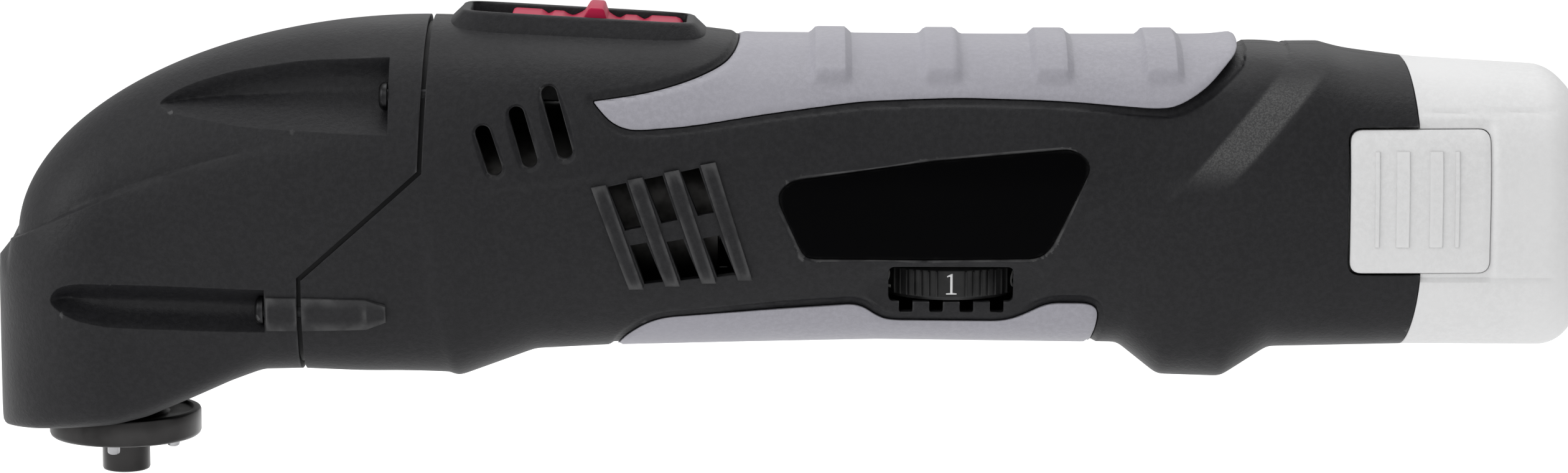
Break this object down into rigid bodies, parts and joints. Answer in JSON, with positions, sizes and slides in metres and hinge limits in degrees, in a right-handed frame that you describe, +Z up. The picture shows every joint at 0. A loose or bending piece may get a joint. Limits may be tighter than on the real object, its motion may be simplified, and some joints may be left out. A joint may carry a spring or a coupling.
{
  "type": "oscillating multi-tool",
  "caption": "Cordless hand-held oscillating multi-tool with a right-angle head, flanged output spindle, slide switch, speed wheel and slide-in battery pack.",
  "frame": {"origin": "spindle axis at the underside of the tool flange", "axes": "+X along the tool from the head towards the battery pack, +Z up out of the top of the tool, -Z along the pilot boss"},
  "size_m": [0.2892, 0.0542, 0.0871],
  "materials": {
    "body_plastic": "fine grained matte",
    "soft_grip": "satin soft moulding",
    "gloss_black": "polished",
    "red_plastic": "satin",
    "wheel_plastic": "satin",
    "pack_plastic": "fine matte",
    "dark_steel": "blackened",
    "bright_steel": "ground",
    "screw_steel": "black oxide",
    "cast_alloy": "cast",
    "bronze": "sintered",
    "magnet": "ferrite",
    "winding": "lacquered copper",
    "carbon": "carbon",
    "inner_plastic": "moulded",
    "board": "laminate",
    "contact": "plated",
    "lead": "insulation",
    "cell_wrap": "shrink sleeve"
  },
  "bodies": {
    "housing": {"housing_near": "body_plastic", "housing_far": "body_plastic", "head_cover": "body_plastic", "top_grip": "soft_grip", "lower_grip": "soft_grip", "switch_bezel": "body_plastic", "badge_near": "gloss_black", "badge_far": "gloss_black", "head_screws": "screw_steel", "housing_screws": "screw_steel", "gear_case": "cast_alloy", "lower_bearing": "bright_steel", "upper_bearing": "bright_steel", "shaft_bearing": "bright_steel", "spindle_seal": "inner_plastic", "motor_can": "bright_steel", "front_bush": "bronze", "rear_bush": "bronze", "motor_end_cap": "inner_plastic", "motor_magnets": "magnet", "brushes": "carbon", "motor_screws": "screw_steel", "switch_body": "inner_plastic", "circuit_board": "board", "board_parts": "inner_plastic", "heat_sink": "cast_alloy", "speed_control": "inner_plastic", "terminal_block": "inner_plastic", "terminal_blades": "contact", "supply_leads": "lead"},
    "rotor": {"motor_shaft": "bright_steel", "armature": "winding", "commutator": "bronze", "fan": "inner_plastic", "counterweight": "bronze", "eccentric_bearing": "bright_steel"},
    "spindle": {"spindle": "dark_steel", "drive_pins": "bright_steel", "retaining_ring": "dark_steel", "fork_lever": "dark_steel", "lever_screw": "screw_steel"},
    "slider": {"slide_button": "red_plastic", "switch_link": "inner_plastic"},
    "wheel": {"speed_wheel": "wheel_plastic", "wheel_shaft": "bright_steel"},
    "battery": {"battery_case": "pack_plastic", "battery_cells": "cell_wrap", "cell_tabs": "bright_steel", "battery_contacts": "contact"},
    "latch_near": {"latch_near": "pack_plastic"},
    "latch_far": {"latch_far": "pack_plastic"}
  },
  "joints": [
    {"name": "rotor_spin", "type": "hinge", "parent": "housing", "child": "rotor", "pos_m": [0.08, 0, 0.044], "axis": [1, 0, 0], "continuous": true},
    {"name": "spindle_swing", "type": "hinge", "parent": "housing", "child": "spindle", "pos_m": [0, 0, 0], "axis": [0, 0, 1], "range_deg": [-1.6, 1.6]},
    {"name": "switch_slide", "type": "slide", "parent": "housing", "child": "slider", "axis": [-0.9982, 0, 0.0595], "range_m": [0, 0.0069]},
    {"name": "speed_turn", "type": "hinge", "parent": "housing", "child": "wheel", "pos_m": [0.1523, -0.00655, 0.03], "axis": [0, 0, 1], "range_deg": [0, 250]},
    {"name": "pack_slide", "type": "slide", "parent": "housing", "child": "battery", "axis": [1, 0, 0], "range_m": [0, 0.06]},
    {"name": "latch_near_press", "type": "slide", "parent": "battery", "child": "latch_near", "axis": [0, 1, 0], "range_m": [0, 0.0018], "stiffness_N_per_m": 1500},
    {"name": "latch_far_press", "type": "slide", "parent": "battery", "child": "latch_far", "axis": [0, -1, 0], "range_m": [0, 0.0018], "stiffness_N_per_m": 1500}
  ]
}
